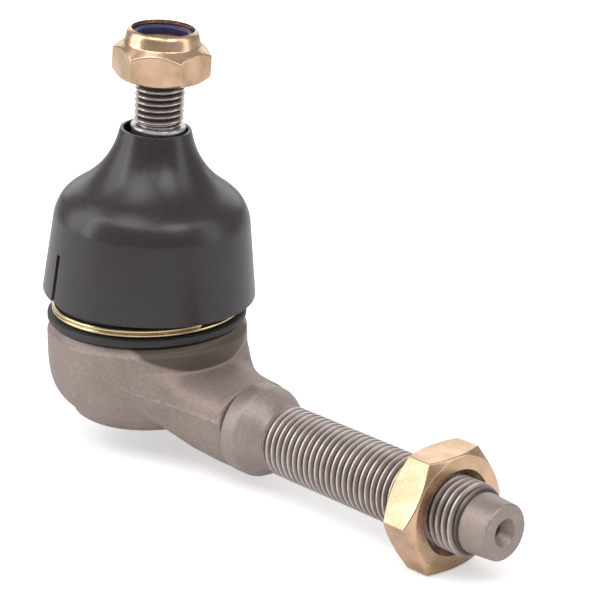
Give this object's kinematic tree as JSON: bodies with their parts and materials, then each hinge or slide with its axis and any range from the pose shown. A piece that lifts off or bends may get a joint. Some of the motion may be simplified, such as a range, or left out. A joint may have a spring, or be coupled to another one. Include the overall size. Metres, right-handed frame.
{
  "type": "tie rod end",
  "caption": "Steering tie rod end: forged socket with threaded shank and jam nut, sprung ball stud, lock nut, rubber boot and protective cap.",
  "frame": {"origin": "centre of the end cover's flat face, on the socket's axis under the ball", "axes": "+Z along the socket's axis towards the stud's thread, +X along the threaded shank away from the socket"},
  "size_m": [0.1199, 0.043, 0.0863],
  "materials": {
    "forged_steel": "as-forged steel, oiled, satin",
    "cover_steel": "pressed steel",
    "spring_steel": "blued spring steel",
    "seat_plastic": "greased acetal",
    "ground_steel": "ground and rolled steel",
    "yellow_zinc": "yellow chromated zinc plating",
    "nylon": "blue nylon",
    "boot_rubber": "black rubber",
    "gold_wire": "bright gold-coloured plated wire",
    "cap_plastic": "black moulded plastic, satin gloss"
  },
  "bodies": {
    "root": {"housing": "forged_steel", "end_cover": "cover_steel", "preload_spring": "spring_steel", "lower_seat": "seat_plastic", "upper_seat": "seat_plastic"},
    "boot": {"dust_boot": "boot_rubber", "boot_lower_ring": "gold_wire"},
    "collar": {"boot_upper_ring": "spring_steel"},
    "cap": {"protective_cap": "cap_plastic"},
    "stud": {"ball_stud": "ground_steel"},
    "stud_nut": {"lock_nut": "yellow_zinc", "lock_nut_insert": "nylon"},
    "shank_nut": {"jam_nut": "yellow_zinc"}
  },
  "joints": [
    {"name": "boot_turn", "type": "hinge", "parent": "root", "child": "boot", "pos_m": [0, 0, 0.0155], "axis": [0, 0, 1], "continuous": true},
    {"name": "stud_swing", "type": "hinge", "parent": "boot", "child": "collar", "pos_m": [0, 0, 0.0155], "axis": [-0.3007, 0.9537, 0], "range_deg": [-22.5, 13.4], "deforming": ["dust_boot"]},
    {"name": "cap_lift", "type": "slide", "parent": "collar", "child": "cap", "axis": [0.064, 0.0202, 0.9977], "range_m": [0, 0.004]},
    {"name": "stud_spin", "type": "hinge", "parent": "collar", "child": "stud", "pos_m": [0, 0, 0.0155], "axis": [0.076, 0.024, 0.9968], "continuous": true},
    {"name": "lock_nut_travel", "type": "slide", "parent": "stud", "child": "stud_nut", "axis": [0.076, 0.024, 0.9968], "range_m": [-0.005, 0.0065]},
    {"name": "jam_nut_travel", "type": "slide", "parent": "root", "child": "shank_nut", "axis": [1, 0, 0], "range_m": [-0.037, 0.0126]}
  ]
}
